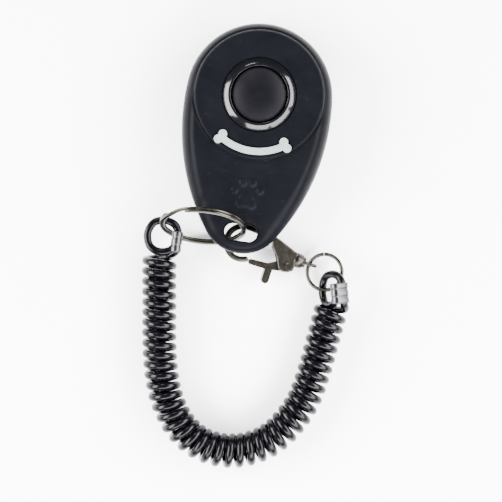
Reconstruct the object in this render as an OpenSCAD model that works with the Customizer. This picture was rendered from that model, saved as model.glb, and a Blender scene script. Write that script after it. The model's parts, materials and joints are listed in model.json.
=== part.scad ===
// Dog training clicker: egg-shaped housing with a push button, a split ring through
// its nose, and a curly wrist cord that comes back to a swivel snap hook.
// Origin on the table under the button, +Y to the wide end, +Z out of the face.

/* [Housing] */
// Radius of the wide end
head_r = 20.6; // [19.5:0.1:22]
// Radius of the narrow end
nose_r = 11.7; // [11:0.1:13]
// Distance between the centres of the two ends
end_gap = 32.7; // [31:0.1:38]
// Radius of the long side arcs
side_r = 60.4; // [54:0.1:80]
// Height of the front face at the wide end
face_z = 16; // [15:0.1:20]
// Height of the seam between the two shells
seam_z = 9; // [8.6:0.1:9.4]
// Underside of the nose above the table
nose_low = 7.2; // [6.4:0.1:7.6]
// Thickness of the nose
nose_thick = 5.4; // [4.5:0.1:6]
// Width of the rounded edge
edge_w = 4.4; // [3:0.1:5]
// Wall thickness of both shells
wall = 1.7; // [1.3:0.1:2.1]
// Radius of the raised round panel
panel_r = 17.8; // [16.8:0.1:18.6]
// Height of the raised round panel over the face
panel_h = 0.5; // [0.3:0.1:0.8]

/* [Key-ring slot] */
// Width of the slot
slot_w = 9.3; // [8.4:0.1:10.5]
// Height of the slot
slot_h = 4.7; // [4.4:0.1:5.2]
// Material left between the slot and the nose tip
slot_bar = 3.6; // [3:0.1:4.2]

/* [Button] */
// Radius of the button
button_r = 7.6; // [6.6:0.1:8.4]
// Rise of the button's domed top
button_dome = 1; // [0.5:0.1:1.6]
// Travel of the button
button_travel = 1.6; // [1:0.1:2]
// Clearance round the button
button_gap = 0.1; // [0.06:0.01:0.2]
// Width of the trim ring
trim_w = 2.4; // [1.8:0.1:2.8]

/* [Click spring] */
// Width of the leaf
leaf_w = 9; // [7:0.1:10.5]
// Thickness of the leaf
leaf_t = 0.3; // [0.2:0.05:0.5]
// Distance from the leaf's clamped edge to the button's centre
leaf_arm = 15; // [13:0.1:16]
// Height of the leaf above the table
leaf_z = 6; // [5.4:0.1:6.6]

/* [Bone badge] */
// Radius of the arc that the bone follows
bone_r = 15.8; // [15.3:0.1:16.2]
// Width of the bone's shaft
bone_w = 1.9; // [1.4:0.1:2.2]
// Half of the angle that the shaft spans
bone_half = 35; // [28:1:42]
// How far the bone stands over the panel
bone_proud = 0.45; // [0.2:0.05:0.7]

/* [Screws] */
// Shank radius of the screws
screw_r = 0.9; // [0.7:0.05:1]
// Head radius of the screws
screw_head_r = 1.8; // [1.5:0.1:2]
// Room between the button's flange and each case screw's post
screw_room = 0.84; // [0.5:0.01:1.4]

/* [Split ring] */
// Outer radius of the split ring
ring_out = 12.2; // [11.6:0.1:12.6]
// Width of its wire, measured along the radius
ring_wire_w = 1.4; // [1:0.1:1.6]
// Thickness of one turn
ring_turn_t = 0.7; // [0.5:0.05:0.8]
// How far the ring leans from upright
ring_lean = 21.7; // [18:0.1:23]

/* [Snap hook] */
// Mean radius of the claw
claw_r = 4.7; // [4.6:0.1:5]
// Radius of the claw's wire
claw_wire = 0.95; // [0.8:0.05:1]
// Length from the claw's centre to the end of the swivel collar
hook_len = 18.2; // [18:0.1:20]
// Thickness of the hook's body
hook_t = 3.6; // [3.4:0.1:3.8]
// Thickness of the gate
gate_t = 2; // [1.8:0.05:2.1]
// Length of the gate's thumb tab
tab_len = 4.5; // [3.5:0.1:5]
// Radius of the gate's pin
pin_r = 0.6; // [0.5:0.05:0.65]
// Mean radius of the swivel eye
eye_r = 1.55; // [1.5:0.05:1.65]

/* [Link ring] */
// Mean radius of the link ring
link_r = 5.1; // [4.9:0.1:5.3]
// Radius of its wire
link_wire = 0.55; // [0.4:0.05:0.6]

/* [Cord] */
// Diameter of the cord itself
cord_d = 2.3; // [2:0.1:2.4]
// Outer diameter of the curly part
coil_d = 10; // [9:0.1:10]
// Length of each ferrule
ferrule_len = 5.8; // [5:0.1:6.4]
// Wall of each ferrule
ferrule_wall = 0.4; // [0.3:0.05:0.5]

/* [Hidden] */
$fn = 64;
black = [0.10, 0.10, 0.12];
cord_black = [0.12, 0.11, 0.15];
steel = [0.72, 0.72, 0.70];
nickel = [0.60, 0.58, 0.54];

// Housing: where its arcs meet, and its heights
nose_high = nose_low + nose_thick;
head_arm = side_r - head_r;
nose_arm = side_r - nose_r;
side_y = (head_arm * head_arm - nose_arm * nose_arm + end_gap * end_gap) / (2 * end_gap);
side_x = sqrt(head_arm * head_arm - side_y * side_y);
head_turn = atan2(side_y, side_x);
nose_turn = atan2(side_y - end_gap, side_x);
shoulder_y = -14;
nose_flat_y = -end_gap - 8;
belly_y = -14;
belly_run = end_gap - 12.7;
panel_z = face_z + panel_h;
ceiling_z = face_z - wall;
cavity_y = -end_gap + 1.7;
slot_y = -end_gap - nose_r + slot_bar + slot_h / 2;
slot_x = 0.1;

// Button, trim ring and click spring
bore_r = button_r + button_gap;
trim_in = button_r + 0.35;
trim_depth = 1;
trim_foot = 0.4;
trim_lip = 0.6;
collar_t = 1.2;
collar_z = ceiling_z - 2.8;
flange_r = bore_r + 1.6;
flange_t = 1;
flange_z = collar_z - 0.1 - flange_t;
button_rim_z = panel_z - 0.1;
button_wall = 1.4;
stem_r = 1.5;
stem_gap = 0.15;
leaf_end_y = 6.5;
leaf_clamp = 6.5;
leaf_top = leaf_z + leaf_t;
leaf_back = 3.2;
leaf_screw_y = -leaf_arm - leaf_back;
leaf_tail_y = -leaf_arm - leaf_clamp;
leaf_head_t = 0.9;
leaf_shank = 3;
leaf_rock = button_travel * (screw_head_r + leaf_back) / leaf_arm + 0.05;

// Case screws
screw_turn = 23.5;
screw_seat_z = 2.2;
screw_head_t = 1.3;
screw_top_z = 12.5;
post_r = screw_r + 1.5;
screw_arm = flange_r + post_r + screw_room;
head_gap = 0.2;

// Split ring, standing on its edge and leaning to the wide end
ring_mid = ring_out - ring_wire_w / 2;
turn_gap = 0.04;
ring_half_t = ring_turn_t + turn_gap / 2;
ring_in_slot = [0.635, -0.417];
ring_yaw = 3;
ring_z = ring_out * cos(ring_lean) + ring_half_t * sin(ring_lean) + 0.1;
function ring_wire(z) = [sqrt(pow(ring_mid, 2) - pow((ring_z - z) / cos(ring_lean), 2)),
    (z - ring_z) * tan(ring_lean)];
ring_xy = [slot_x, slot_y] + ring_in_slot - ring_wire(nose_low + nose_thick / 2);
ring_cross = 35;
ring_start = 150;

// Snap hook: its own frame has the claw's centre at the origin and +X to the swivel
hook_z = nose_low - 2.05;
hook_in_ring = [2.514, -0.443];
hook_xy = ring_xy + ring_wire(hook_z) + hook_in_ring;
hook_at = [hook_xy[0], hook_xy[1], hook_z];
hook_turned = [8, -10];
claw_root = 82;
claw_tip = 295;
pivot = [hook_len - 4.9, -2.4];
hub_r = 1.8;
collar_r = 2.1;
collar_from = hook_len - 3;
stem_hole = 0.85;
swivel_r = stem_hole - 0.06;
swivel_head_r = 1.3;
eye_wire = 0.5;
eye_x = hook_len + eye_r + eye_wire + 0.15;
gate_room = 0.1;
gate_tip_x = 3.1;
tab_x = 9.2;
tab_root = -4.6;
tab_w = 2.1;
tab_t = 2.8;
spring_wire = 0.13;
spring_r = 1.1;
spring_turns = 2.3;
spring_pocket = 1.1;

// Link ring, one end low in the swivel eye and the other high in the cord's loop
link_tilt = 18;
link_turn = -18;
link_slack = [-0.3, 0, 0];
link_at = hook_at + carry([eye_x, 0, 0], hook_turned) + link_slack + link_r
    * [cos(link_turn) * cos(link_tilt), sin(link_turn), cos(link_turn) * sin(link_tilt)];
link_gap = 3;

// Cord: routes as points chosen by hand, smoothed between
coil_z = coil_d / 2 + 0.05;
coil_route = [[-21.8, -48.4], [-21, -55], [-19.7, -64], [-18.6, -72], [-17, -80], [-14.4, -87.6],
    [-10, -94.4], [-4.5, -98.6], [1.5, -100.2], [7.5, -99.8], [13, -97.7], [17.6, -94.2],
    [21.4, -89], [24.3, -82.8], [26.1, -74.4], [27.3, -65.3], [28.5, -55.9]];
loop_shape = [[4.1, -3.9, -1.2], [4.2, -1.1, -1.2], [4.1, 1.7, -1.15], [2.8, 3.7, -0.9],
    [0, 4.4, -0.6], [-3, 3.3, -0.3], [-4.25, 0, 0], [-3.1, -3.3, 0.4], [-0.3, -4.5, 0.8],
    [2.7, -3.7, 1.1], [4.1, -1.4, 1.2], [4.2, 1.5, 1.2]];
left_lead = [[-19.4, -48.1, 2.4], [-18.9, -47.4, 3.8]];
right_lead = [[32.1, -56, 4.6], [32.2, -55.3, 6.3]];
left_at = [-21.6, -42.4, 8.2];
left_turned = [0, 0];
right_at = [27.6, -51, 5.3];
right_turned = [-58, 13];
ferrule_at = [4.15, -1.1, 0];
strand_step = 1.2;

// ---- Shapes and curves ----

function unit(v) = v / norm(v);
function ease(t) = let (c = min(max(t, 0), 1)) c * c * (3 - 2 * c);
function face_at(y) = nose_high + (face_z - nose_high)
    * ease((y - nose_flat_y) / (shoulder_y - nose_flat_y));
function back_at(y) = nose_low * ease((belly_y - y) / belly_run);

// Right half of the egg outline, set in by a distance, from the nose tip to the head top
function arc(cx, cy, r, from, to, n) =
    [for (i = [0:n]) let (a = from + (to - from) * i / n) [cx + r * cos(a), cy + r * sin(a)]];
function half_egg(inset) = concat(
    arc(0, -end_gap, nose_r - inset, -90, nose_turn, 7),
    [for (i = [1:7]) arc(-side_x, -side_y, side_r - inset, nose_turn, head_turn, 7)[i]],
    [for (i = [1:10]) arc(0, 0, head_r - inset, head_turn, 90, 10)[i]]);
function egg(inset) = let (h = half_egg(inset), n = len(h))
    concat(h, [for (i = [n - 2:-1:1]) [-h[i][0], h[i][1]]]);

// Rings of one half of the housing, from the seam to the middle of its face
edge_steps = [0, 14, 28, 42, 56, 70, 82, 90];
mid_y = -8;
function level(y, skin, up) = up ? face_at(y) - skin : back_at(y) + skin;
function edge_ring(skin, up, a) = [for (p = egg(skin + edge_w * (1 - cos(a))))
    [p[0], p[1], seam_z + (level(p[1], skin, up) - seam_z) * sin(a)]];
function inner_ring(skin, up, s) = [for (p = egg(skin + edge_w))
    let (y = mid_y + (p[1] - mid_y) * s) [p[0] * s, y, level(y, skin, up)]];
function shell_rings(skin, up) = concat(
    skin > 0 ? [[for (p = egg(skin)) [p[0], p[1], seam_z + (up ? -1 : 1)]]] : [],
    [for (a = edge_steps) edge_ring(skin, up, a)],
    [for (s = [0.8, 0.6, 0.4, 0.2]) inner_ring(skin, up, s)]);

// A closed skin over rings of points, with a flat first end and a point at the last
module skin_over(rings, tip, up) {
    n = len(rings[0]);
    m = len(rings);
    function turned(f) = up ? f : [for (i = [len(f) - 1:-1:0]) f[i]];
    points = [for (r = concat(rings, [[tip]])) each r];
    ends = concat([turned([for (i = [0:n - 1]) i])],
        [for (i = [0:n - 1]) turned([(m - 1) * n + (i + 1) % n, (m - 1) * n + i, m * n])]);
    sides = [for (j = [0:m - 2], i = [0:n - 1], k = [0, 1])
        let (a = j * n + i, b = j * n + (i + 1) % n)
        turned(k == 0 ? [a, a + n, b] : [b, a + n, b + n])];
    polyhedron(points, concat(ends, sides));
}
module egg_half(skin, up) skin_over(shell_rings(skin, up), [0, mid_y, level(mid_y, skin, up)], up);
module cavity(up) difference() {
    egg_half(wall, up);
    translate([-50, cavity_y - 80, -5]) cube([100, 80, 40]);
}
module slot_cut() translate([slot_x, slot_y, -1]) {
    for (s = [-1, 1]) translate([s * (slot_w - slot_h) / 2, 0, 0]) cylinder(r = slot_h / 2, h = 30);
    translate([-(slot_w - slot_h) / 2, -slot_h / 2, 0]) cube([slot_w - slot_h, slot_h, 30]);
}
module at_screws() for (s = [-1, 1])
    translate([s * screw_arm * cos(screw_turn), screw_arm * sin(screw_turn), 0]) children();

// Smooth path through points, and a round tube along a path
function spline(p, i, t) = let (n = len(p) - 1, a = p[max(i - 1, 0)], b = p[i], c = p[i + 1],
    d = p[min(i + 2, n)]) 0.5 * (2 * b + (c - a) * t + (2 * a - 5 * b + 4 * c - d) * t * t
    + (3 * b - a - 3 * c + d) * t * t * t);
function smooth_path(p, k) = concat([for (i = [0:len(p) - 2], j = [0:k - 1]) spline(p, i, j / k)],
    [p[len(p) - 1]]);
function tangent(p, i) = unit(p[min(i + 1, len(p) - 1)] - p[max(i - 1, 0)]);
function carried(p, i, v) = let (t = tangent(p, i)) unit(v - t * (v * t));
function normals(p, v, i = 0) = i >= len(p) ? []
    : let (w = carried(p, i, v)) concat([w], normals(p, w, i + 1));
module tube(p, r, sides, v) {
    w = normals(p, v);
    m = len(p);
    rings = [for (i = [0:m - 1]) let (u = cross(tangent(p, i), w[i]))
        each [for (k = [0:sides - 1]) let (a = (k + 0.5) * 360 / sides)
            p[i] + r * (cos(a) * w[i] + sin(a) * u)]];
    ends = [[for (k = [sides - 1:-1:0]) k], [for (k = [0:sides - 1]) (m - 1) * sides + k]];
    walls = [for (j = [0:m - 2], k = [0:sides - 1], h = [0, 1])
        let (a = j * sides + k, b = j * sides + (k + 1) % sides)
        h == 0 ? [a, b, a + sides] : [b, b + sides, a + sides]];
    polyhedron(rings, concat(ends, walls));
}
// A point turned about Y and then about Z
function carry(p, turned) = let (c = cos(turned[0]), s = sin(turned[0]),
    x = p[0] * c + p[2] * s, z = p[2] * c - p[0] * s, cy = cos(turned[1]), sy = sin(turned[1]))
    [x * cy - p[1] * sy, x * sy + p[1] * cy, z];

// ---- Housing ----

module front_shell() color(black) {
    difference() {
        union() {
            difference() {
                union() {
                    egg_half(0, true);
                    translate([0, 0, face_z - 1.1])
                        cylinder(h = 1.1 + panel_h, r1 = panel_r + 1.2, r2 = panel_r, $fn = 96);
                    paw();
                }
                cavity(true);
            }
            translate([0, 0, collar_z]) cylinder(r = bore_r + collar_t, h = ceiling_z - collar_z + 0.2);
            at_screws() translate([0, 0, seam_z]) cylinder(r = post_r, h = ceiling_z - seam_z + 0.2);
        }
        cylinder(r = bore_r, h = 40);
        translate([0, 0, panel_z - trim_depth]) cylinder(r = trim_in + trim_w, h = 5);
        translate([0, 0, panel_z - bone_depth]) linear_extrude(5) bone_outline(0.05);
        at_screws() cylinder(r = screw_r, h = screw_top_z);
        slot_cut();
    }
}

// Raised paw print between the panel and the slot
toes = [[-3.1, -26.9, 0.9], [-1.1, -24.6, 1], [1.5, -24.4, 1], [3.9, -26.4, 0.9]];
module paw() {
    for (t = toes) pad_at([t[0], t[1]], t[2]);
    pad_at([0.4, -29.2], 2);
    pad_at([-1.2, -30.4], 1.2);
    pad_at([2, -30.4], 1.2);
}
paw_slope = 10;
paw_proud = 0.3;
module pad_at(p, r) translate([p[0], p[1], face_at(p[1])]) rotate([paw_slope, 0, 0])
    translate([0, 0, -0.6]) cylinder(r = r, h = 0.6 + paw_proud, $fn = 32);

module back_shell() color(black) {
    difference() {
        union() {
            difference() {
                egg_half(0, false);
                cavity(false);
            }
            at_screws() translate([0, 0, wall - 0.3]) cylinder(r = post_r, h = seam_z - wall + 0.3);
            intersection() {
                translate([-leaf_w / 2 - 0.5, leaf_tail_y - 0.5, 0])
                    cube([leaf_w + 1, leaf_clamp + 0.5, leaf_z]);
                egg_half(0.4, false);
            }
        }
        at_screws() translate([0, 0, -1]) cylinder(r = screw_head_r + head_gap, h = 1 + screw_seat_z);
        at_screws() cylinder(r = screw_r, h = 20);
        translate([0, leaf_screw_y, leaf_z - leaf_shank]) cylinder(r = screw_r, h = 10);
        slot_cut();
    }
}

module trim_ring() color([0.06, 0.06, 0.07]) rotate_extrude($fn = 96)
    translate([trim_in, panel_z - trim_depth]) {
        square([trim_w, trim_foot]);
        square([trim_lip, trim_w - trim_lip]);
        intersection() {
            translate([trim_lip, 0]) circle(r = trim_w - trim_lip, $fn = 96);
            square(2 * trim_w);
        }
    }

// Curved bone, two lobes at each end
bone_depth = 0.5;
lobe_r = 1.2;
lobe_off = 0.95;
module bone_outline(grow) {
    intersection() {
        difference() {
            circle(r = bone_r + bone_w / 2 + grow, $fn = 128);
            circle(r = bone_r - bone_w / 2 - grow, $fn = 128);
        }
        polygon([[0, 0], 30 * [-sin(bone_half), -cos(bone_half)], [0, -40],
            30 * [sin(bone_half), -cos(bone_half)]]);
    }
    for (s = [-1, 1], off = [-1, 1]) rotate(s * bone_half)
        translate([0, -bone_r - off * lobe_off]) circle(r = lobe_r + grow, $fn = 40);
}
module bone_badge() color([0.86, 0.88, 0.86]) translate([0, 0, panel_z - bone_depth])
    linear_extrude(bone_depth + bone_proud) bone_outline(0);

module button() color([0.13, 0.12, 0.15]) {
    dome_r = (button_r * button_r + button_dome * button_dome) / (2 * button_dome);
    difference() {
        union() {
            intersection() {
                translate([0, 0, flange_z]) cylinder(r = button_r, h = 20, $fn = 96);
                translate([0, 0, button_rim_z + button_dome - dome_r]) sphere(r = dome_r, $fn = 200);
            }
            translate([0, 0, flange_z]) cylinder(r = flange_r, h = flange_t, $fn = 96);
        }
        translate([0, 0, flange_z - 1])
            cylinder(r = button_r - button_wall, h = button_rim_z - button_wall - flange_z + 1);
    }
    translate([0, 0, leaf_top + stem_gap + stem_r])
        cylinder(r = stem_r, h = button_rim_z - leaf_top - stem_gap - stem_r);
    translate([0, 0, leaf_top + stem_gap + stem_r]) sphere(r = stem_r, $fn = 32);
}

// Spring-steel strip that rocks on the front edge of its boss, under a shoulder screw
dimple_y = 3.4;
module click_leaf() color(steel) difference() {
    translate([-leaf_w / 2, leaf_tail_y, leaf_z]) cube([leaf_w, leaf_end_y - leaf_tail_y, leaf_t]);
    translate([0, leaf_screw_y, leaf_z - 1]) cylinder(r = screw_r + 0.1, h = 3);
    translate([0, dimple_y + 0.8, leaf_z - 1]) cylinder(r = 0.8, h = 3);
}
module screw(head_t, shank) difference() {
    union() {
        translate([0, 0, -head_t]) cylinder(r = screw_head_r, h = head_t);
        cylinder(r = screw_r, h = shank);
    }
    for (a = [0, 90]) rotate(a) translate([-1.1, -0.22, -head_t - 0.5]) cube([2.2, 0.44, 1]);
}
module leaf_screw() color(steel) translate([0, leaf_screw_y, leaf_top + leaf_rock]) rotate([180, 0, 0])
    screw(leaf_head_t, leaf_rock + leaf_t + leaf_shank - 0.1);
module case_screws() color(steel) at_screws() translate([0, 0, screw_seat_z])
    screw(screw_head_t, screw_top_z - 0.1 - screw_seat_z);

// ---- Split ring ----

wire_chamfer = 0.18;
module wire_section() translate([ring_mid, 0])
    polygon([for (s = [[-1, -1], [1, -1], [1, 1], [-1, 1]], k = [0, 1])
        let (w = ring_wire_w / 2, t = ring_turn_t / 2, long = (s[0] * s[1] > 0) == (k == 0))
        long ? [s[0] * w, s[1] * (t - wire_chamfer)] : [s[0] * (w - wire_chamfer), s[1] * t]]);
module wire_slice(a, z) rotate(a) translate([0, 0, z]) rotate([90, 0, 0])
    linear_extrude(0.02) wire_section();
module split_ring() color(steel) translate([ring_xy[0], ring_xy[1], ring_z])
    rotate([90 - ring_lean, 0, ring_yaw]) rotate(ring_start) {
        step = ring_turn_t / 2 + turn_gap / 2;
        for (s = [-1, 1]) translate([0, 0, s * step])
            rotate_extrude(angle = 360 - ring_cross, $fn = 128) wire_section();
        for (i = [0:4]) let (a = -ring_cross + ring_cross * i / 5, b = a + ring_cross / 5) hull() {
            wire_slice(a, step * (2 * ease(i / 5) - 1));
            wire_slice(b, step * (2 * ease((i + 1) / 5) - 1));
        }
    }

// ---- Snap hook, in its own frame ----

module on_hook() translate(hook_at) rotate([0, hook_turned[0], hook_turned[1]]) children();
module plate(t, points) translate([0, 0, -t / 2]) linear_extrude(t) polygon(points);

module hook_body() color(nickel) on_hook() difference() {
    union() {
        rotate(claw_root) rotate_extrude(angle = claw_tip - claw_root, $fn = 96)
            translate([claw_r, 0]) circle(r = claw_wire, $fn = 32);
        rotate(claw_tip) translate([claw_r, 0, 0]) sphere(r = claw_wire - 0.03, $fn = 32);
        plate(2 * claw_wire - 0.3, [[-0.3, claw_r + 0.75], [0.5, claw_r + 0.8], [9, claw_r - 0.2],
            [9, claw_r - 1.9], [1, claw_r - 0.75], [-0.3, claw_r - 0.7]]);
        plate(hook_t, [[7.9, claw_r - 0.1], [9.8, claw_r - 0.3], [collar_from + 0.8, 1.9],
            [collar_from + 0.8, pivot[1] - 1], [pivot[0] + 0.8, pivot[1] - hub_r - 0.2],
            [pivot[0] - 0.8, pivot[1] - hub_r - 0.2], [pivot[0] - 1.9, pivot[1] - 0.9],
            [pivot[0] - 2.7, pivot[1] + 1.2], [8.6, 0.6], [8.2, 3]]);
        translate([collar_from, 0, 0]) rotate([0, 90, 0])
            cylinder(r = collar_r, h = hook_len - collar_from);
    }
    plate(gate_t + 2 * gate_room, [[collar_from + 0.1, -0.4], [pivot[0] - 2, -0.4], [8, -0.4], [3, 0.9],
        [3, -8], [collar_from + 0.1, -8]]);
    translate([pivot[0], pivot[1], -5]) cylinder(r = pin_r, h = 10);
    translate([hook_len - 2.5, 0, 0]) rotate([0, 90, 0]) cylinder(r = swivel_head_r + 0.15, h = 1.2);
    translate([hook_len - 2, 0, 0]) rotate([0, 90, 0]) cylinder(r = stem_hole, h = 5);
}
module hook_gate() color(nickel) on_hook() difference() {
    union() {
        translate([pivot[0], pivot[1], -gate_t / 2]) cylinder(r = hub_r, h = gate_t);
        plate(gate_t, [[pivot[0], pivot[1] + hub_r], [8.6, -3.3], [gate_tip_x + 0.5, -3.6],
            [gate_tip_x, -4], [gate_tip_x, -4.8], [gate_tip_x + 0.5, -5.2], [9, -5.1],
            [pivot[0], pivot[1] - hub_r]]);
        translate([tab_x, tab_root, -tab_t / 2]) {
            translate([-tab_w / 2, tab_w / 2 - tab_len, 0]) cube([tab_w, tab_len - tab_w / 2, tab_t]);
            translate([0, tab_w / 2 - tab_len, 0]) cylinder(r = tab_w / 2, h = tab_t);
        }
    }
    translate([pivot[0], pivot[1], -5]) cylinder(r = pin_r + 0.05, h = 10);
    translate([pivot[0], pivot[1], gate_t / 2 - spring_pocket]) cylinder(r = spring_r + 0.35, h = 5);
}
module gate_pin() color(steel) on_hook() translate([pivot[0], pivot[1], -hook_t / 2])
    cylinder(r = pin_r, h = hook_t);
module gate_spring() color(steel) on_hook() {
    rise = spring_pocket - 2 * spring_wire - 0.1;
    base = gate_t / 2 - spring_pocket + spring_wire + 0.03;
    steps = spring_turns * 12;
    tube([for (i = [0:steps]) [pivot[0] + spring_r * cos(i * 30),
        pivot[1] + spring_r * sin(i * 30), base + rise * i / steps]], spring_wire, 6, [0, 0, 1]);
}
module swivel_eye() color(nickel) on_hook() {
    translate([hook_len - 2.35, 0, 0]) rotate([0, 90, 0]) cylinder(r = swivel_head_r, h = 0.95);
    translate([hook_len - 2, 0, 0]) rotate([0, 90, 0]) cylinder(r = swivel_r, h = 2.5);
    translate([hook_len + 0.1, 0, 0]) rotate([0, 90, 0]) cylinder(r = 1.45, h = 0.5);
    translate([eye_x, 0, 0]) rotate([90, 0, 0]) rotate_extrude($fn = 64) translate([eye_r, 0])
        circle(r = eye_wire, $fn = 32);
}
module link_ring() color(steel) translate(link_at) rotate([0, -link_tilt, 0]) rotate(100)
    rotate_extrude(angle = 360 - link_gap, $fn = 96) translate([link_r, 0]) circle(r = link_wire, $fn = 32);

// ---- Cord ----

module coil_cord() color(cord_black)
    tube([for (p = smooth_path(coil_route, 1)) [p[0], p[1], coil_z]], coil_d / 2, 12, [0, 0, 1]);
module end_loop(lead, at, turned) color(cord_black)
    tube(smooth_path(concat(lead, [for (p = loop_shape) at + carry(p, turned)]), 2), cord_d / 2, 8, [1, 0, 0]);
module end_loop_left() end_loop(left_lead, left_at, left_turned);
module end_loop_right() end_loop(right_lead, right_at, right_turned);
module ferrule(at, turned) color(steel) translate(at) rotate([0, turned[0], turned[1]])
    translate(ferrule_at + [0, -ferrule_len / 2, 0]) rotate([-90, 0, 0]) difference() {
        r = cord_d / 2 + ferrule_wall;
        union() {
            for (s = [-1, 1]) translate([0, s * strand_step, 0]) cylinder(r = r, h = ferrule_len);
            translate([-r, -strand_step, 0]) cube([2 * r, 2 * strand_step, ferrule_len]);
        }
        for (s = [-1, 1]) translate([0, s * strand_step, -1]) cylinder(r = cord_d / 2, h = ferrule_len + 2);
    }
module ferrule_left() ferrule(left_at, left_turned);
module ferrule_right() ferrule(right_at, right_turned);

front_shell();
back_shell();
button();
trim_ring();
bone_badge();
click_leaf();
leaf_screw();
case_screws();
split_ring();
hook_body();
hook_gate();
gate_pin();
gate_spring();
swivel_eye();
link_ring();
coil_cord();
end_loop_left();
end_loop_right();
ferrule_left();
ferrule_right();
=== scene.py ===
import json
import math
import bpy
import bmesh
from mathutils import Matrix, Vector


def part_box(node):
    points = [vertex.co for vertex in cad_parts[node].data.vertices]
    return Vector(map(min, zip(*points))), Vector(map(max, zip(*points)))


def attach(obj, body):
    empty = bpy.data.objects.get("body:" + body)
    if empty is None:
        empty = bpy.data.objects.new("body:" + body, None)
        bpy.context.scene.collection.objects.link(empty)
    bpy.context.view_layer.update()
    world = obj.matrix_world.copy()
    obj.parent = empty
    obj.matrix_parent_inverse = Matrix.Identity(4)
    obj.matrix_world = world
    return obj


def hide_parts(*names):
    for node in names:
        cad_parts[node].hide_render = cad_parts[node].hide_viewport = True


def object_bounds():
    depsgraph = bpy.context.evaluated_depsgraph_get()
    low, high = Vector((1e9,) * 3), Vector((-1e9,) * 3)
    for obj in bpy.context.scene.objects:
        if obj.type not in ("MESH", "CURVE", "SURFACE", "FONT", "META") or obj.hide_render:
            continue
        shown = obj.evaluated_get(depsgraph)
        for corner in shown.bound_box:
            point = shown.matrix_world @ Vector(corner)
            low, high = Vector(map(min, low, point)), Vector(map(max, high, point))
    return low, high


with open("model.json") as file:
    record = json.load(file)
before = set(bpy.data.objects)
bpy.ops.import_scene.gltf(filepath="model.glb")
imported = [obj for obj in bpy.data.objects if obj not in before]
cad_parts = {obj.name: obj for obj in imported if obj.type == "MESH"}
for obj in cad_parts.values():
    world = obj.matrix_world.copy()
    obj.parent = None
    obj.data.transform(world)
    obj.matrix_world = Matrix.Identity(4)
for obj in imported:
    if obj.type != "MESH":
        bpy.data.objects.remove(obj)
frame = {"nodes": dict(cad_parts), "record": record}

mm = 0.001
startLow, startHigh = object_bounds()
joints = {joint["name"]: joint for joint in frame["record"]["behaviour"]["joints"]}
print("frame loaded, box", [round(v / mm, 1) for v in (startHigh - startLow)])


# Camera straight above, turned so that the housing leans a little to the right

cameraSettings = {"lens": 115, "distance": 0.46, "roll": 7.9, "lower": -0.001, "across": 0.0005,
                  "nearest": 0.02, "farthest": 20}

middle = (startLow + startHigh) / 2
cameraData = bpy.data.cameras.new("overheadCamera")
cameraData.lens = cameraSettings["lens"]
cameraData.clip_start, cameraData.clip_end = cameraSettings["nearest"], cameraSettings["farthest"]
camera = bpy.data.objects.new("overheadCamera", cameraData)
camera.location = (middle.x + cameraSettings["across"], middle.y + cameraSettings["lower"],
                   cameraSettings["distance"])
camera.rotation_euler = (0, 0, math.radians(cameraSettings["roll"]))
bpy.context.collection.objects.link(camera)
bpy.context.scene.camera = camera


# Small helpers for curves and meshes

def ease(t):
    t = min(max(t, 0), 1)
    return t * t * (3 - 2 * t)


def mixed(a, b, t):
    return a + (b - a) * t


def smoothLine(points, steps):
    made = []
    last = len(points) - 1
    for i in range(last):
        a, b, c, d = points[max(i - 1, 0)], points[i], points[i + 1], points[min(i + 2, last)]
        for j in range(steps):
            t = j / steps
            made.append(0.5 * (2 * b + (c - a) * t + (2 * a - 5 * b + 4 * c - d) * t * t
                               + (3 * b - a - 3 * c + d) * t ** 3))
    return made + [points[-1]]


def lineLength(points):
    return sum((b - a).length for a, b in zip(points, points[1:]))


def addObject(name, mesh):
    made = bpy.data.objects.new(name, mesh)
    bpy.context.collection.objects.link(made)
    return made


def shadeByAngle(mesh, degrees):
    mesh.polygons.foreach_set("use_smooth", [True] * len(mesh.polygons))
    mesh.set_sharp_from_angle(angle=math.radians(degrees))


def meshObject(name, points, faces, sharp=35):
    mesh = bpy.data.meshes.new(name)
    mesh.from_pydata([tuple(p) for p in points], [], faces)
    tidy = bmesh.new()
    tidy.from_mesh(mesh)
    bmesh.ops.remove_doubles(tidy, verts=tidy.verts, dist=1e-7)
    bmesh.ops.recalc_face_normals(tidy, faces=tidy.faces)
    tidy.to_mesh(mesh)
    tidy.free()
    shadeByAngle(mesh, sharp)
    return addObject(name, mesh)


def skinRings(name, rings, wrapEnds=False, startPoint=None, endPoint=None, sharp=35):
    count = len(rings[0])
    points = [p for ring in rings for p in ring]
    faces = []
    last = len(rings) if wrapEnds else len(rings) - 1
    for j in range(last):
        a, b = j * count, (j + 1) % len(rings) * count
        faces += [(a + i, a + (i + 1) % count, b + (i + 1) % count, b + i) for i in range(count)]
    for point, ring in ((startPoint, 0), (endPoint, len(rings) - 1)):
        if point is not None:
            points.append(point)
            a, tip = ring * count, len(points) - 1
            faces += [(a + i, a + (i + 1) % count, tip) for i in range(count)]
    return meshObject(name, points, faces, sharp)


def lathe(name, profile, steps, closed=False, sharp=35):
    rings = []
    for step in range(steps):
        turn = 2 * math.pi * step / steps
        rings.append([Vector((r * math.cos(turn), r * math.sin(turn), z)) * mm for r, z in profile])
    points = [p for ring in rings for p in ring]
    count = len(profile)
    span = count if closed else count - 1
    faces = []
    for j in range(steps):
        a, b = j * count, (j + 1) % steps * count
        faces += [(a + i, b + i, b + (i + 1) % count, a + (i + 1) % count) for i in range(span)]
    return meshObject(name, points, faces, sharp)


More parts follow.
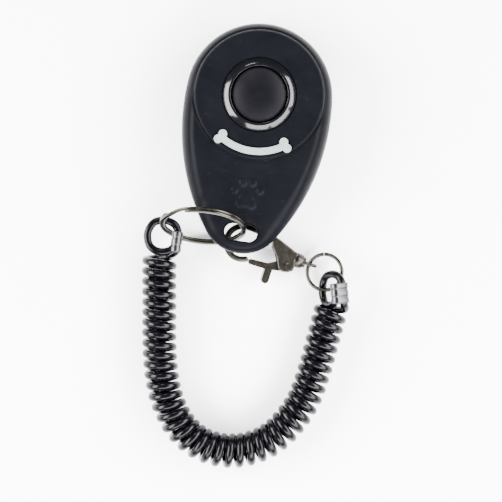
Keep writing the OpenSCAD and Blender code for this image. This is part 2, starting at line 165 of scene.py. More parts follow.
def sweep(name, line, section, upward, sharp=35):
    # section(i) gives the outline at point i, as (along the normal, along the binormal) pairs
    rings = []
    normal = upward.normalized()
    for i, point in enumerate(line):
        along = (line[min(i + 1, len(line) - 1)] - line[max(i - 1, 0)]).normalized()
        normal = (normal - along * normal.dot(along)).normalized()
        side = along.cross(normal)
        rings.append([point + normal * n + side * s for n, s in section(i)])
    first, final = (sum(ring, Vector()) / len(ring) for ring in (rings[0], rings[-1]))
    return skinRings(name, rings, startPoint=first, endPoint=final, sharp=sharp)


def bevelEdges(made, width):
    bevel = made.modifiers.new("softEdges", "BEVEL")
    bevel.width, bevel.segments = width * mm, 3
    bevel.limit_method, bevel.angle_limit = "ANGLE", math.radians(30)
    bevel.harden_normals = False


# Shader nodes: a Signal is a socket that can stand in a sum or a product

class Signal:
    def __init__(self, finish, socket):
        self.finish, self.socket = finish, socket

    def join(self, operation, first, second):
        return self.finish.node("ShaderNodeMath", {"operation": operation}, {0: first, 1: second})

    def __add__(self, other):
        return self.join("ADD", self, other)

    def __sub__(self, other):
        return self.join("SUBTRACT", self, other)

    def __rsub__(self, other):
        return self.join("SUBTRACT", other, self)

    def __mul__(self, other):
        return self.join("MULTIPLY", self, other)


class Finish:
    def __init__(self, name, **constants):
        self.material = bpy.data.materials.new(name)
        self.material.use_nodes = True
        self.tree = self.material.node_tree
        self.shader = self.tree.nodes["Principled BSDF"]
        for socket, value in constants.items():
            self.shader.inputs[socket.replace("_", " ")].default_value = value

    def node(self, kind, settings=None, values=None, output=0):
        made = self.tree.nodes.new(kind)
        for key, value in (settings or {}).items():
            setattr(made, key, value)
        for key, value in (values or {}).items():
            if isinstance(value, Signal):
                self.tree.links.new(value.socket, made.inputs[key])
            else:
                made.inputs[key].default_value = value
        return Signal(self, made.outputs[output])

    def feed(self, socket, signal):
        self.tree.links.new(signal.socket, self.shader.inputs[socket])

    def place(self):
        return self.node("ShaderNodeTexCoord", output="Object")

    def noise(self, scale, detail=4, rough=0.55, at=None):
        values = {"Vector": at or self.place(), "Scale": scale, "Detail": detail,
                  "Roughness": rough}
        return self.node("ShaderNodeTexNoise", {}, values)

    def stretched(self, x, y, z):
        return self.node("ShaderNodeVectorMath", {"operation": "MULTIPLY"},
                         {0: self.place(), 1: (x, y, z)})

    def step(self, signal, low, high, toLow=0.0, toHigh=1.0):
        return self.node("ShaderNodeMapRange", {"interpolation_type": "SMOOTHSTEP"},
                         {"Value": signal, "From Min": low, "From Max": high,
                          "To Min": toLow, "To Max": toHigh})

    def tint(self, mask, first, second):
        first, second = (c if isinstance(c, Signal) else (*c, 1) for c in (first, second))
        return self.node("ShaderNodeMix", {"data_type": "RGBA"}, {0: mask, 6: first, 7: second}, 2)

    def relief(self, height, distance, strength=1.0, under=None):
        values = {"Height": height, "Distance": distance, "Strength": strength}
        if under:
            values["Normal"] = under
        return self.node("ShaderNodeBump", {}, values)


def dress(made, finish):
    made.data.materials.clear()
    made.data.materials.append(finish.material)


def dressNode(name, finish):
    node = frame["nodes"][name]
    for place in node.material_slots:
        place.material = finish.material


# Cord: one piece, from the left loop through the coil to the right loop

cordSizes = {"thick": 2.3, "coilRadius": 3.85, "middle": 5.05, "turns": 41, "perTurn": 22,
             "startTurn": 228, "endTurn": -7, "length": 1.075}
coilRoute = [(-21.8, -48.4), (-21, -55), (-19.7, -64), (-18.6, -72), (-17, -80), (-14.4, -87.6),
             (-10, -94.4), (-4.5, -98.6), (1.5, -100.2), (7.5, -99.8), (13, -97.7), (17.6, -94.2),
             (21.4, -89), (24.3, -82.8), (26.1, -74.4), (27.3, -65.3), (28.5, -55.9)]
loopShape = [(4.1, -3.9, -1.2), (4.2, -1.1, -1.2), (4.1, 1.7, -1.15), (2.8, 3.7, -0.9),
             (0, 4.4, -0.6), (-3, 3.3, -0.3), (-4.25, 0, 0), (-3.1, -3.3, 0.4),
             (-0.3, -4.5, 0.8), (2.7, -3.7, 1.1), (4.1, -1.4, 1.2), (4.2, 1.5, 1.2)]
loops = {"left": {"lead": [(-19.4, -48.1, 2.4), (-18.9, -47.4, 3.8)],
                  "at": (-21.6, -42.4, 8.2), "turned": (0, 0)},
         "right": {"lead": [(32.1, -56, 4.6), (32.2, -55.3, 6.3)],
                   "at": (27.6, -51, 5.3), "turned": (-58, 13)}}


def carried(point, loop):
    # from the loop's own frame to where it lies
    across, about = (math.radians(v) for v in loop["turned"])
    turned = Matrix.Rotation(about, 4, "Z") @ Matrix.Rotation(across, 4, "Y") @ Vector(point)
    return turned + Vector(loop["at"])


def coilPoints():
    upright = Vector((0, 0, 1))
    route = smoothLine([Vector((x, y, cordSizes["middle"])) for x, y in coilRoute], 24)
    reach = [0]
    for a, b in zip(route, route[1:]):
        reach.append(reach[-1] + (b - a).length)
    count = cordSizes["turns"] * cordSizes["perTurn"]
    sweepAngle = cordSizes["turns"] * 360 + cordSizes["endTurn"] + 360 - cordSizes["startTurn"]
    points, at = [], 0
    for i in range(count + 1):
        want = reach[-1] * i / count
        while at < len(route) - 2 and reach[at + 1] < want:
            at += 1
        share = (want - reach[at]) / (reach[at + 1] - reach[at])
        along = (route[min(at + 2, len(route) - 1)] - route[max(at - 1, 0)]).normalized()
        out = along.cross(upright)
        turn = math.radians(cordSizes["startTurn"] + sweepAngle * i / count)
        points.append(route[at].lerp(route[at + 1], share)
                      + cordSizes["coilRadius"] * (out * math.cos(turn) + upright * math.sin(turn)))
    return points


def makeCord():
    coil = coilPoints()
    ends = {}
    for side, loop in loops.items():
        near = coil[3] if side == "left" else coil[-4]
        drawn = [near] + [Vector(p) for p in loop["lead"]] + [carried(p, loop) for p in loopShape]
        ends[side] = smoothLine(drawn, 8)
    line = list(reversed(ends["left"])) + coil[4:-4] + ends["right"]
    data = bpy.data.curves.new("curlyCord", "CURVE")
    data.dimensions = "3D"
    strand = data.splines.new("POLY")
    strand.points.add(len(line) - 1)
    for point, place in zip(strand.points, line):
        point.co, point.radius = (*(place * mm), 1), cordSizes["thick"] / 2 * mm
    strand.use_smooth = True
    data.bevel_depth = 1  # each point's radius is the strand's
    data.bevel_resolution = 3
    data.use_fill_caps = True
    return addObject("curlyCord", data), line


curlyCord, cordLine = makeCord()
print("cord made,", len(cordLine), "points,", round(lineLength(cordLine), 1), "mm")


# Housing: a polar skin round the button's axis, so that the panel and the trim's seat stay round

caseSizes = {"headRadius": 20.6, "noseRadius": 11.7, "endGap": 32.7, "sideRadius": 60.4, "face": 16,
             "seam": 9, "noseLow": 7.2, "noseHigh": 12.6, "edge": 4.4, "slopeFrom": -14,
             "backSlope": 20, "panelRadius": 17.8, "panelRise": 0.5, "wall": 1.7, "cavityEnd": 31,
             "bore": 7.72, "seatRadius": 10.4, "seatDepth": 1.0, "collarRadius": 9,
             "collarLow": 11.5, "ceiling": 14, "floor": 1.7, "slotAt": (0.1, -38.45),
             "slotWide": 9.3, "slotTall": 4.7, "slotRim": 0.9, "aroundSteps": 480, "edgeSteps": 16}
reliefSizes = {"groove": 0.22, "paw": 0.32, "gutter": 0.3, "slot": 0.35, "slotReach": 2.4}
pocketSizes = {"radius": 2.0, "mouth": 2.35, "depth": 2.2, "screwHead": 1.8}
boneSizes = {"radius": 15.8, "half": 0.95, "angle": 35, "lobe": 1.2, "lobeOff": 0.95, "gutter": 0.5}
pawPads = [(-3.1, -26.9, 0.9), (-1.1, -24.6, 1.0), (1.5, -24.4, 1.0), (3.9, -26.4, 0.9),
           (0.4, -29.2, 2.0), (-1.2, -30.4, 1.2), (2.0, -30.4, 1.2)]


def sideCentre():
    head, nose, gap = (caseSizes[k] for k in ("headRadius", "noseRadius", "endGap"))
    headArm, noseArm = caseSizes["sideRadius"] - head, caseSizes["sideRadius"] - nose
    y = (headArm ** 2 - noseArm ** 2 + gap ** 2) / (2 * gap)
    return math.sqrt(headArm ** 2 - y ** 2), y


sideX, sideY = sideCentre()
headTurn = math.atan2(sideY, sideX)
noseTurn = math.atan2(sideY - caseSizes["endGap"], sideX)


def insideEgg(x, y):
    # how far a point lies inside the outline
    x = abs(x)
    turn = math.atan2(y + sideY, x + sideX)
    if turn > headTurn:
        return caseSizes["headRadius"] - math.hypot(x, y)
    if turn < noseTurn:
        return caseSizes["noseRadius"] - math.hypot(x, y + caseSizes["endGap"])
    return caseSizes["sideRadius"] - math.hypot(x + sideX, y + sideY)


def reachOfEgg(turn):
    near, far = 0, 60
    for i in range(40):
        half = (near + far) / 2
        if insideEgg(half * math.cos(turn), half * math.sin(turn)) > 0:
            near = half
        else:
            far = half
    return near


def faceLevel(y):
    flat = -caseSizes["endGap"] - 8
    slope = (y - flat) / (caseSizes["slopeFrom"] - flat)
    return mixed(caseSizes["noseHigh"], caseSizes["face"], ease(slope))


def backLevel(y):
    return caseSizes["noseLow"] * ease((caseSizes["slopeFrom"] - y) / caseSizes["backSlope"])


def rounded(inside, level):
    # the edge falls away to the seam as a quarter of an ellipse
    near = min(max(inside, 0), caseSizes["edge"]) / caseSizes["edge"]
    return caseSizes["seam"] + (level - caseSizes["seam"]) * math.sqrt(1 - (1 - near) ** 2)


def toBone(x, y):
    # how far a point lies outside the bone
    turn = math.degrees(math.atan2(x, -y))
    radius = math.hypot(x, y)
    best = 99
    if abs(turn) <= boneSizes["angle"]:
        best = abs(radius - boneSizes["radius"]) - boneSizes["half"]
    for side in (-1, 1):
        for off in (-1, 1):
            at = boneSizes["radius"] + off * boneSizes["lobeOff"]
            angle = math.radians(side * boneSizes["angle"])
            apart = math.hypot(x - at * math.sin(angle), y + at * math.cos(angle))
            best = min(best, apart - boneSizes["lobe"])
    return best


def toPaw(x, y):
    return min(math.hypot(x - px, y - py) - r for px, py, r in pawPads)


def frontHeight(x, y):
    s = reliefSizes
    height = rounded(insideEgg(x, y), faceLevel(y))
    radius = math.hypot(x, y)
    panel = caseSizes["face"] + caseSizes["panelRise"]
    out = radius - caseSizes["panelRadius"]
    # the panel's step with a groove at its foot, and the paw print beyond it
    if out < 0.6:
        height = mixed(panel, height, ease((out + 0.25) / 0.85))
        height -= s["groove"] * max(0, 1 - abs(out - 0.5) / 0.35)
    else:
        height -= s["groove"] * max(0, 1 - (out - 0.5) / 0.5)
        height += s["paw"] * ease(0.5 - toPaw(x, y) / 0.7)
    if y < 0 and abs(radius - boneSizes["radius"]) < 4:
        height -= s["gutter"] * ease(1 - toBone(x, y) / boneSizes["gutter"])
    toSlot = slotDistance(x, y)
    if toSlot < s["slotReach"]:
        height -= s["slot"] * ease(1 - toSlot / s["slotReach"])
    return height


def slotDistance(x, y):
    half = (caseSizes["slotWide"] - caseSizes["slotTall"]) / 2
    sx, sy = caseSizes["slotAt"]
    return math.hypot(max(abs(x - sx) - half, 0), y - sy) - caseSizes["slotTall"] / 2


def outerRadii(reach, start, flatSteps):
    # even steps over the face, then steps that follow the rounded edge
    edge, steps = min(caseSizes["edge"], 0.7 * (reach - start)), caseSizes["edgeSteps"]
    turnEdge = math.acos(1 - edge / caseSizes["edge"])
    flat = [reach - mixed(reach - start, edge, i / flatSteps) for i in range(flatSteps)]
    return flat + [reach - caseSizes["edge"] * (1 - math.cos(turnEdge * (1 - i / steps)))
                   for i in range(steps)]


def cavityReach(turn, reach):
    # the hollow ends before the nose, where the two shells meet in solid plastic
    inward = reach - caseSizes["wall"]
    if math.sin(turn) < -0.05:
        inward = min(inward, -caseSizes["cavityEnd"] / math.sin(turn))
    return inward


def makeFront():
    s = caseSizes
    top, steps = s["face"] + s["panelRise"], s["aroundSteps"]
    columns = []
    for i in range(steps):
        turn = 2 * math.pi * i / steps
        across, down = math.cos(turn), math.sin(turn)
        reach = reachOfEgg(turn)
        hollow = cavityReach(turn, reach)
        column = [(s["bore"], s["collarLow"]), (s["bore"], top - s["seatDepth"]),
                  (s["seatRadius"], top - s["seatDepth"]), (s["seatRadius"], top - 0.12)]
        radii = [s["seatRadius"] + 0.1 + 0.27 * k for k in range(27)]
        radii += outerRadii(reach, s["panelRadius"] + 0.1, 64)
        column += [(radius, frontHeight(radius * across, radius * down)) for radius in radii]
        column += [(reach, s["seam"] + 0.22), (reach - 0.16, s["seam"] + 0.05),
                   (hollow, s["seam"] + 0.05), (hollow - 0.9, faceLevel(hollow * down) - 4.5),
                   (s["collarRadius"] + 1.5, s["ceiling"]), (s["collarRadius"], s["ceiling"]),
                   (s["collarRadius"], s["collarLow"])]
        columns.append([Vector((r * across, r * down, z)) * mm for r, z in column])
    return skinRings("frontCase", columns, wrapEnds=True, sharp=40)


def makeBack():
    s = caseSizes
    steps = s["aroundSteps"] // 2
    columns = []
    for i in range(steps):
        turn = 2 * math.pi * i / steps
        across, down = math.cos(turn), math.sin(turn)
        reach = reachOfEgg(turn)
        hollow = cavityReach(turn, reach)
        outer = [0.5 + 1.5 * k for k in range(7)] + outerRadii(reach, 11, 24)
        column = [(r, rounded(insideEgg(r * across, r * down), backLevel(r * down))) for r in outer]
        column += [(reach, s["seam"] - 0.16), (reach - 0.12, s["seam"] - 0.04),
                   (hollow, s["seam"] - 0.04),
                   (hollow - 0.9, backLevel(hollow * down) * 0.55 + 3.4),
                   (6, s["floor"]), (0.5, s["floor"])]
        columns.append([Vector((r * across, r * down, z)) * mm for r, z in column])
    count = len(columns[0])
    points = [p for column in columns for p in column]
    points += [Vector((0, 0, 0)), Vector((0, 0, s["floor"])) * mm]
    faces = []
    for j in range(steps):
        a, b = j * count, (j + 1) % steps * count
        faces += [(a + k, b + k, b + k + 1, a + k + 1) for k in range(count - 1)]
        faces += [(a, len(points) - 2, b), (a + count - 1, b + count - 1, len(points) - 1)]
    return meshObject("backCase", points, faces, 40)


def cutAway(made, cutter):
    cut = made.modifiers.new("cut", "BOOLEAN")
    cut.object, cut.operation, cut.solver = cutter, "DIFFERENCE", "EXACT"
    bpy.context.view_layer.update()
    worked = made.evaluated_get(bpy.context.evaluated_depsgraph_get())
    shaped = bpy.data.meshes.new_from_object(worked)
    made.modifiers.remove(cut)
    made.data = shaped
    shadeByAngle(shaped, 40)
    bpy.data.objects.remove(cutter)


def slotCutter():
    # a stadium that flares out where it meets the face and the back
    half = (caseSizes["slotWide"] - caseSizes["slotTall"]) / 2
    sx, sy = caseSizes["slotAt"]
    rim = caseSizes["slotRim"]
    low, high = caseSizes["noseLow"] - 0.1, caseSizes["noseHigh"] - 0.2
    levels = [(low - 2, rim * 1.4), (low, rim * 0.75)]
    bends = [(rim * math.sin(t * math.pi / 10), rim * (1 - math.sin(math.pi / 2 * t / 5)) * 0.75)
             for t in range(1, 6)]
    levels += [(low + rise, grow) for rise, grow in bends]
    levels += [(high - rise, grow) for rise, grow in reversed(bends)]
    levels += [(high, rim * 0.75), (high + 3, rim * 2.2)]
    rings = []
    for z, grow in levels:
        ring = []
        for side in (1, -1):
            for k in range(25):
                angle = math.radians(-90 + 180 * k / 24) + (0 if side > 0 else math.pi)
                radius = caseSizes["slotTall"] / 2 + grow
                ring.append(Vector((sx + side * half + radius * math.cos(angle),
                                    sy + radius * math.sin(angle), z)) * mm)
        rings.append(ring)
    middleLow, middleHigh = (Vector((sx, sy, levels[k][0])) * mm for k in (0, -1))
    return skinRings("slotCutter", rings, startPoint=middleLow, endPoint=middleHigh)


def cutPockets():
    # a counterbore under each screw's head
    s = pocketSizes
    screwLow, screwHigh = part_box("case_screws")
    across, down = screwHigh.x - s["screwHead"] * mm, (screwLow.y + screwHigh.y) / 2
    for side in (-1, 1):
        pocket = lathe("pocketCutter", [(0, -1), (s["mouth"], -1), (s["radius"], 0.05),
                                        (s["radius"], s["depth"]), (0, s["depth"])], 40)
        for vertex in pocket.data.vertices:
            vertex.co += Vector((across * side, down, 0))
        cutAway(backCase, pocket)


frontCase = makeFront()
cutAway(frontCase, slotCutter())
backCase = makeBack()
cutAway(backCase, slotCutter())
cutPockets()
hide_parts("front_shell")
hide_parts("back_shell")
for made in (frontCase, backCase):
    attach(made, "root")
print("housing made,", len(frontCase.data.vertices), "and", len(backCase.data.vertices), "points")


# Button and the bright ring round it

buttonSizes = {"radius": 7.6, "rim": 16.4, "dome": 1.0, "flange": 9.3, "flangeLow": 10.4,
               "flangeHigh": 11.4, "fillet": 0.45, "wall": 1.4, "stem": 1.5, "stemLow": 6.45}
trimSizes = {"inner": 7.95, "outer": 10.35, "foot": 15.5, "lip": 0.6, "soft": 0.1,
             "inSlope": 0.46, "outSlope": 0.9}


def makeButton():
    s = buttonSizes
    ball = (s["radius"] ** 2 + s["dome"] ** 2) / (2 * s["dome"])
    flat = s["radius"] - s["fillet"]
    ballCentre = s["rim"] + s["dome"] - ball
    dome = [(r, ballCentre + math.sqrt(ball ** 2 - r ** 2))
            for r in (flat * k / 24 for k in range(25))]
    top = dome[-1][1]
    rim = [(flat + s["fillet"] * math.sin(turn), top - s["fillet"] * (1 - math.cos(turn)))
           for turn in (t * math.pi / 16 for t in range(1, 9))]
    inner, under = s["radius"] - s["wall"], s["rim"] - s["wall"]
    flange = [(s["radius"], s["flangeHigh"]), (s["flange"], s["flangeHigh"]),
              (s["flange"], s["flangeLow"]), (inner, s["flangeLow"]), (inner, under),
              (s["stem"], under)]
    tip = [(s["stem"] * math.cos(turn), s["stemLow"] + s["stem"] * (1 - math.sin(turn)))
           for turn in (t * math.pi / 12 for t in range(7))]
    return lathe("pressButton", dome + rim + flange + tip, 128)


def makeTrim():
    s = trimSizes
    ball = s["outer"] - s["inner"] - s["lip"]
    start, top = s["inner"] + s["lip"], s["foot"] + ball
    # a bowed slope that steepens outwards
    bow = (s["outSlope"] - s["inSlope"]) / 2
    arch = [(start + ball * t, top - ball * t * (s["inSlope"] + bow * t))
            for t in (1 - k / 16 for k in range(17))]
    arch = [(s["outer"], arch[0][1] - 0.12), (s["outer"] - 0.03, arch[0][1] - 0.04)] + arch[1:]
    lip = [(s["inner"] + s["soft"] * (1 - math.sin(turn)), top - s["soft"] * (1 - math.cos(turn)))
           for turn in (t * math.pi / 12 for t in range(7))]
    foot = [(s["inner"], s["foot"]), (s["outer"], s["foot"])]
    return lathe("trimBand", foot + arch + lip, 192, closed=True)


pressButton, trimBand = makeButton(), makeTrim()
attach(pressButton, "button")
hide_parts("button")
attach(trimBand, "root")
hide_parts("trim_ring")
bevelEdges(frame["nodes"]["bone_badge"], 0.22)
print("button and trim made")


# Split ring: one flat-sided wire wound twice, with a step where it changes layer

ringSizes = {"radius": 11.5, "halfWide": 0.7, "halfThick": 0.35, "layer": 0.37, "cross": 35,
             "start": 150, "steps": 340, "corner": 0.62}


def ringPlace():
    axis = Vector(joints["ring_turn"]["axis"])
    lean, yaw = math.asin(axis.z), math.atan2(axis.x, -axis.y)
    return (Matrix.Translation(Vector(joints["ring_turn"]["pos_m"]))
            @ Matrix.Rotation(yaw, 4, "Z") @ Matrix.Rotation(math.pi / 2 - lean, 4, "X")
            @ Matrix.Rotation(math.radians(ringSizes["start"]), 4, "Z"))


def makeSplitRing():
    s = ringSizes
    line = []
    for k in range(s["steps"] + 1):
        angle = (720 - s["cross"]) * k / s["steps"]
        layer = mixed(-s["layer"], s["layer"], ease((angle - 360 + s["cross"]) / s["cross"]))
        turn = math.radians(angle)
        across, up = s["radius"] * math.cos(turn), s["radius"] * math.sin(turn)
        line.append(Vector((across, up, layer)) * mm)

    def section(i):
        # a soft-cornered flat wire, smaller at its cut ends
        grow = min(1, 0.72 + 0.14 * min(i, s["steps"] - i))
        outline = []
        for k in range(16):
            thick, wide = (math.copysign(abs(v) ** s["corner"], v)
                           for v in (math.cos(math.pi * k / 8), math.sin(math.pi * k / 8)))
            outline.append((s["halfThick"] * grow * thick * mm, s["halfWide"] * grow * wide * mm))
        return outline

    made = sweep("splitRing", line, section, Vector((0, 0, 1)), sharp=50)
    made.data.transform(ringPlace())
    return made


splitRing = makeSplitRing()
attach(splitRing, "ring")
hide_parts("split_ring")


# Snap hook, drawn in its own frame: the claw's middle at the origin and +X towards the swivel

hookSizes = {"claw": 4.7, "wire": 0.95, "tip": 308, "length": 18.2, "half": 1.8, "gateRoom": 1.1,
             "collar": 2.1, "collarFrom": 15.2, "stem": 0.85}


def hookPlace():
    along = -Vector(joints["hook_turn"]["axis"])
    upward = -Vector(joints["gate_open"]["axis"])
    turned = Matrix((along, upward.cross(along), upward)).transposed().to_4x4()
    return Matrix.Translation(Vector(joints["hook_turn"]["pos_m"])) @ turned @ Matrix.Scale(mm, 4)


def makeClaw():
    s = hookSizes
    root = [(11.5, 2.3), (10, 3.1), (8, 3.75), (5.5, 4.25), (3, 4.58), (1, s["claw"] - 0.02)]
    line = smoothLine([Vector((x, y, 0)) for x, y in root], 5)
    line += [Vector((s["claw"] * math.cos(turn), s["claw"] * math.sin(turn), 0))
             for turn in (math.radians(a) for a in range(90, s["tip"] + 1, 2))]
    reach = [0]
    for a, b in zip(line, line[1:]):
        reach.append(reach[-1] + (b - a).length)

    def section(i):
        # broad at the root, slimmer to the tip, which is rounded off
        back = reach[-1] - reach[i]
        nose = math.sqrt(max(0, 1 - (1 - min(back / 0.8, 1)) ** 2))
        grow = (0.12 + 0.88 * nose) * mixed(1.0, 0.88, ease(reach[i] / reach[-1] * 1.6 - 0.6))
        broad = mixed(1.45, 0.95, ease(reach[i] / 8.5))
        return [(broad * grow * math.cos(turn), s["wire"] * grow * math.sin(turn))
                for turn in (2 * math.pi * k / 16 for k in range(16))]

    return sweep("hookClaw", line, section, Vector((0, 0, 1)), sharp=60)


def plateObject(name, outline, half):
    count = len(outline)
    points = [Vector((x, y, z)) for z in (-half, half) for x, y in outline]
    faces = [tuple(range(count - 1, -1, -1)), tuple(range(count, 2 * count))]
    faces += [(i, (i + 1) % count, count + (i + 1) % count, count + i) for i in range(count)]
    return meshObject(name, points, faces)


def makeCheeks():
    s = hookSizes
    end = s["collarFrom"] + 0.8
    outline = [(8.1, 4.4), (9.8, 4.2), (12.5, 3.2), (end, 1.9), (end, -3.3), (14.5, -4.2),
               (13.3, -4.45), (12.1, -4.2), (11.3, -3.1), (10.6, -1.2), (9.4, 0.2), (8.4, 1.4),
               (8, 3)]
    gap = [(15.3, -0.4), (11, -0.4), (7, 0.2), (4, -9), (15.3, -9)]
    cheeks = plateObject("hookCheeks", outline, s["half"])
    cutAway(cheeks, plateObject("gateCutter", gap, s["gateRoom"]))
    return cheeks


def makeCollar():
    s = hookSizes
    low, high, soft, step = s["collarFrom"], s["length"], 0.35, 0.15
    outer = [(s["collar"] - soft, low), (s["collar"], low + soft), (s["collar"], high - soft - 0.5),
             (s["collar"] - step, high - soft - 0.35), (s["collar"] - step, high - soft),
             (s["collar"] - soft - step, high)]
    bore = [(s["stem"], high), (s["stem"], low)]
    made = lathe("hookCollar", outer + bore, 48, closed=True, sharp=50)
    made.data.transform(Matrix.Rotation(math.pi / 2, 4, "Y"))
    made.data.transform(Matrix.Scale(1 / mm, 4))
    return made


hookClaw, hookCheeks, hookCollar = makeClaw(), makeCheeks(), makeCollar()
for made in (hookClaw, hookCheeks, hookCollar):
    made.data.transform(hookPlace())
    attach(made, "hook")
for made in (hookCheeks, hookClaw, hookCollar):
    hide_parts("hook_body")
bevelEdges(hookCheeks, 0.4)
bevelEdges(frame["nodes"]["hook_gate"], 0.25)
print("split ring and hook made")


# Ferrules, each pressed round two strands of the cord

ferruleSizes = {"length": 5.8, "radius": 1.55, "bore": 1.14, "apart": 1.2, "at": (4.15, -1.1, 0),
                "dent": 0.16, "dentAt": 0.42, "dentWide": 0.13, "lip": 0.22}


def makeFerrule(name, loop):
    s = ferruleSizes
    half = s["length"] / 2
    lip = [(half, s["radius"] - s["lip"]), (half - 0.08, s["radius"] - 0.07),
           (half - 0.3, s["radius"])]
    stations = [(-along, radius) for along, radius in lip]
    for k in range(1, 24):
        t = -1 + 2 * k / 24
        dents = sum(math.exp(-((t - at) / s["dentWide"]) ** 2)
                    for at in (-s["dentAt"], s["dentAt"]))
        stations.append((t * (half - 0.3), s["radius"] - s["dent"] * dents))
    stations += lip[::-1] + [(half, s["bore"]), (-half, s["bore"])]
    rings = []
    for along, radius in stations:
        ring = []
        for side in (1, -1):
            for k in range(17):
                angle = math.pi * k / 16 + (0 if side > 0 else math.pi)
                local = Vector((radius * math.cos(angle), along,
                                side * s["apart"] + radius * math.sin(angle)))
                ring.append(carried(local + Vector(s["at"]), loop) * mm)
        rings.append(ring)
    return skinRings(name, rings, wrapEnds=True, sharp=45)


ferrules = {side: makeFerrule(side + "Ferrule", loop) for side, loop in loops.items()}
for side, made in ferrules.items():
    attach(made, "root")
    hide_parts("ferrule_" + side)

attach(curlyCord, "root")
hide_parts("coil_cord", "end_loop_left", "end_loop_right")
tuple(cordLine[0] * mm)
print("ferrules made")


# Finishes

def housingFinish():
    made = Finish("housingPlastic", IOR=1.07)
    mottle = made.noise(160, 5, 0.6)
    dust = made.step(made.noise(1300, 3, 0.7), 0.66, 0.78)
    scuff = made.step(made.noise(1.0, 6, 0.65, made.stretched(260, 900, 500)), 0.60, 0.74)
    black = made.tint(mottle, (0.0013, 0.0014, 0.0019), (0.0032, 0.0034, 0.0045))
    made.feed("Base Color", made.tint(dust * 0.35 + scuff * 0.12, black, (0.018, 0.019, 0.024)))
    made.feed("Roughness", mottle * 0.10 + 0.26 + scuff * 0.14 + dust * 0.12)
    grain = made.noise(2600, 2, 0.5)
    wave = made.noise(90, 2, 0.4)
    made.feed("Normal", made.relief(grain, 0.00001, 0.35, made.relief(wave, 0.0002, 0.25)))
    return made


def buttonFinish():
    made = Finish("buttonPlastic", IOR=1.22)
    flat = made.stretched(1, 1, 0)
    apart = made.node("ShaderNodeVectorMath", {"operation": "LENGTH"}, {0: flat}, 1)
    thumbed = made.step(apart, 0.0015, 0.0068, 1, 0)
    mottle = made.noise(240, 4, 0.6)
    made.feed("Base Color", made.tint(mottle, (0.0012, 0.0011, 0.0017), (0.0026, 0.0024, 0.0036)))
    made.feed("Roughness", 0.33 - thumbed * 0.08 + mottle * 0.08)
    made.feed("Normal", made.relief(made.noise(3000, 2, 0.5), 0.00001, 0.5))
    return made


def trimFinish():
    made = Finish("trimGloss", Coat_Weight=0.08, Coat_Roughness=0.08, IOR=1.3)
    fine = made.step(made.noise(1.0, 5, 0.7, made.stretched(2200, 700, 700)), 0.62, 0.72)
    made.feed("Base Color", made.tint(fine, (0.0022, 0.0023, 0.003), (0.012, 0.012, 0.014)))
    made.feed("Roughness", fine * 0.08 + 0.14)
    made.feed("Normal", made.relief(made.noise(300, 2, 0.5), 0.00002, 0.2))
    return made


def badgeFinish():
    made = Finish("badgeMetal", IOR=1.8)
    cloud = made.noise(420, 4, 0.6)
    worn = made.step(made.noise(1500, 4, 0.7), 0.6, 0.75)
    metal = made.tint(cloud, (0.17, 0.20, 0.192), (0.34, 0.385, 0.372))
    made.feed("Base Color", made.tint(worn * 0.5, metal, (0.20, 0.22, 0.21)))
    made.feed("Metallic", 0.45 - worn * 0.2)
    made.feed("Roughness", cloud * 0.16 + 0.28 + worn * 0.15)
    made.feed("Normal", made.relief(cloud, 0.00004, 0.3))
    return made


def wireFinish(name, first, second, low, high, streak=(700, 2600, 700)):
    made = Finish(name, IOR=2.0)
    drawn = made.noise(1.0, 4, 0.6, made.stretched(*streak))
    stain = made.step(made.noise(210, 5, 0.65), 0.52, 0.72)
    metal = made.tint(drawn, first, second)
    made.feed("Base Color", made.tint(stain * 0.55, metal, tuple(v * 0.5 for v in first)))
    made.feed("Metallic", 1 - stain * 0.12)
    made.feed("Roughness", drawn * (high - low) + low + stain * 0.12)
    made.feed("Normal", made.relief(drawn, 0.00003, 0.35))
    return made


def hookFinish():
    made = Finish("hookCasting", IOR=2.0)
    tumbled = made.noise(700, 5, 0.65)
    pits = made.step(made.noise(1700, 3, 0.6), 0.62, 0.72)
    tarnish = made.step(made.noise(230, 4, 0.6), 0.42, 0.7)
    metal = made.tint(tarnish, (0.036, 0.0325, 0.0275), (0.014, 0.0122, 0.010))
    made.feed("Base Color", made.tint(pits * 0.6, metal, (0.012, 0.011, 0.010)))
    made.feed("Metallic", 1 - pits * 0.3)
    made.feed("Roughness", tumbled * 0.16 + 0.22 + tarnish * 0.12)
    made.feed("Normal", made.relief(tumbled - pits * 0.6, 0.00006, 0.5))
    return made


def cordFinish():
    made = Finish("cordPlastic", IOR=1.19)
    haze = made.noise(260, 5, 0.6)
    lint = made.step(made.noise(2100, 3, 0.7), 0.7, 0.8)
    black = made.tint(haze, (0.0005, 0.0004, 0.0008), (0.0014, 0.0012, 0.0021))
    made.feed("Base Color", made.tint(lint * 0.5, black, (0.02, 0.018, 0.025)))
    made.feed("Roughness", haze * 0.10 + 0.17 + lint * 0.2)
    made.feed("Normal", made.relief(made.noise(900, 3, 0.5), 0.00003, 0.3))
    return made


def ferruleFinish():
    made = Finish("ferruleSleeve", IOR=1.9)
    brushed = made.noise(1.0, 4, 0.6, made.stretched(2600, 240, 2600))
    handled = made.step(made.noise(330, 4, 0.6), 0.5, 0.7)
    metal = made.tint(brushed, (0.028, 0.028, 0.031), (0.065, 0.065, 0.07))
    made.feed("Base Color", made.tint(handled * 0.6, metal, (0.014, 0.014, 0.016)))
    made.feed("Metallic", 1 - handled * 0.15)
    made.feed("Roughness", brushed * 0.16 + 0.22 + handled * 0.1)
    made.feed("Normal", made.relief(brushed, 0.00004, 0.4))
    return made


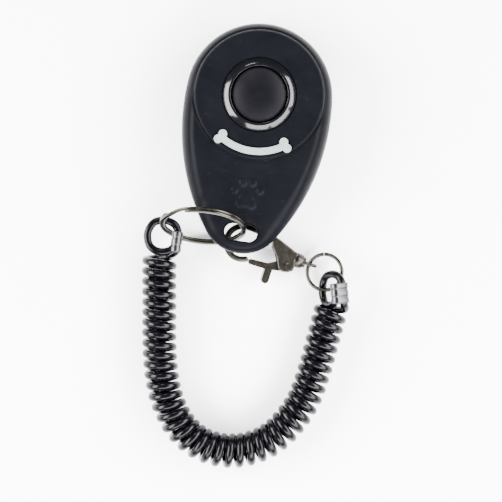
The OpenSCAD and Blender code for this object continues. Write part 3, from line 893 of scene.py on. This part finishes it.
housingPlastic, buttonPlastic, cordPlastic = housingFinish(), buttonFinish(), cordFinish()
ringWire = wireFinish("ringWire", (0.016, 0.0145, 0.012), (0.042, 0.0385, 0.032), 0.14, 0.3)
springStrip = wireFinish("springStrip", (0.48, 0.48, 0.48), (0.66, 0.66, 0.66), 0.2, 0.38)
zincScrew = wireFinish("zincScrew", (0.50, 0.50, 0.52), (0.68, 0.68, 0.70), 0.22, 0.4,
                       (1500, 1500, 1500))
hookCasting, ferruleSleeve = hookFinish(), ferruleFinish()
for made in (frontCase, backCase):
    dress(made, housingPlastic)
dress(pressButton, buttonPlastic)
dress(trimBand, trimFinish())
dress(splitRing, ringWire)
dress(curlyCord, cordPlastic)
for made in (hookClaw, hookCheeks, hookCollar):
    dress(made, hookCasting)
for made in ferrules.values():
    dress(made, ferruleSleeve)
dressNode("bone_badge", badgeFinish())
for name, finish in {"click_leaf": springStrip, "gate_spring": springStrip, "leaf_screw": zincScrew,
                     "case_screws": zincScrew, "gate_pin": zincScrew, "hook_gate": hookCasting,
                     "swivel_eye": hookCasting, "link_ring": ringWire}.items():
    dressNode(name, finish)
print("finishes on")


# Studio: pale floor, soft boxes round the sides, little light from overhead

studioSizes = {"floorReach": 3, "floorDrop": 0.00002, "floorRough": 0.9,
               "airColour": (0.93, 0.95, 1.0), "airPower": 0.07}
lightSizes = {
    "leftBox": {"at": (-0.44, -0.10, 0.30), "size": (0.55, 0.30), "power": 26.0},
    "rightBox": {"at": (0.44, 0.14, 0.34), "size": (0.50, 0.30), "power": 19.0},
    "cornerBox": {"at": (0.37, -0.29, 0.34), "size": (0.42, 0.30), "power": 14.0},
    "nearBox": {"at": (0.04, -0.50, 0.34), "size": (0.40, 0.24), "power": 11.0},
    "farBox": {"at": (-0.20, 0.50, 0.40), "size": (0.14, 0.12), "power": 2.5},
}


def makeStudio():
    s = studioSizes
    corners = [Vector((x * s["floorReach"], y * s["floorReach"], -s["floorDrop"]))
               for x, y in ((-1, -1), (1, -1), (1, 1), (-1, 1))]
    floor = meshObject("paleFloor", corners, [(0, 1, 2, 3)])
    paper = Finish("floorPaper", Specular_IOR_Level=0.1)
    pale = paper.tint(paper.noise(40, 3), (0.93, 0.93, 0.935), (0.945, 0.945, 0.95))
    paper.feed("Base Color", pale)
    paper.shader.inputs["Roughness"].default_value = s["floorRough"]
    dress(floor, paper)
    for name, light in lightSizes.items():
        data = bpy.data.lights.new(name, "AREA")
        data.shape, data.size, data.size_y = "RECTANGLE", *light["size"]
        data.energy = light["power"]
        made = bpy.data.objects.new(name, data)
        made.location = light["at"]
        towards = Vector((middle.x, middle.y, 0)) - made.location
        made.rotation_euler = towards.to_track_quat("-Z", "Y").to_euler()
        bpy.context.collection.objects.link(made)
    world = bpy.data.worlds.new("studioAir")
    world.use_nodes = True
    air = world.node_tree.nodes["Background"]
    air.inputs["Color"].default_value = (*s["airColour"], 1)
    air.inputs["Strength"].default_value = s["airPower"]
    bpy.context.scene.world = world


makeStudio()
